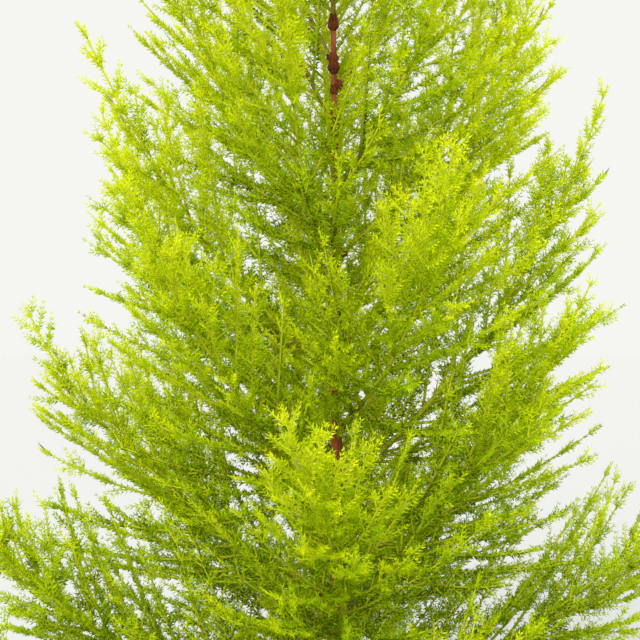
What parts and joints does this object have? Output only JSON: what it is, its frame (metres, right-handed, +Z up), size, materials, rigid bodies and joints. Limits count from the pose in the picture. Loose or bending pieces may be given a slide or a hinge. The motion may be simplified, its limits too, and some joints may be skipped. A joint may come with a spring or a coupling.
{
  "type": "cypress tree",
  "caption": "Young lemon cypress: a narrow cone of golden-green needle plumes on rising boughs round one straight trunk, rooted in the ground.",
  "frame": {"origin": "centre of the flat cut under the trunk, at ground level", "axes": "+Z up along the trunk; -Y towards the viewer of the front"},
  "size_m": [0.4325, 0.4431, 0.8],
  "materials": {
    "bark": "matte red-brown bark",
    "young_bark": "satin olive-brown young bark",
    "needles": "satin yellow-green needles"
  },
  "bodies": {
    "root": {"trunk": "bark", "bough_01": "young_bark", "bough_02": "young_bark", "bough_03": "young_bark", "bough_04": "young_bark", "bough_05": "young_bark", "bough_06": "young_bark", "bough_07": "young_bark", "bough_08": "young_bark", "bough_09": "young_bark", "bough_10": "young_bark", "bough_11": "young_bark", "bough_12": "young_bark", "bough_13": "young_bark", "bough_14": "young_bark", "bough_15": "young_bark", "bough_16": "young_bark", "bough_17": "young_bark", "bough_18": "young_bark", "bough_19": "young_bark", "bough_20": "young_bark", "bough_21": "young_bark", "bough_22": "young_bark", "bough_23": "young_bark", "bough_24": "young_bark", "plume_01": "needles", "plume_02": "needles", "plume_03": "needles", "plume_04": "needles", "plume_05": "needles", "plume_06": "needles", "plume_07": "needles", "plume_08": "needles", "plume_09": "needles", "plume_10": "needles", "plume_11": "needles", "plume_12": "needles", "plume_13": "needles", "plume_14": "needles", "plume_15": "needles", "plume_16": "needles", "plume_17": "needles", "plume_18": "needles", "plume_19": "needles", "plume_20": "needles", "plume_21": "needles", "plume_22": "needles", "plume_23": "needles", "plume_24": "needles", "plume_25": "needles", "plume_26": "needles", "plume_27": "needles", "plume_28": "needles", "plume_29": "needles", "plume_30": "needles", "plume_31": "needles", "plume_32": "needles", "plume_33": "needles", "plume_34": "needles", "leader_plume": "needles"}
  },
  "joints": []
}
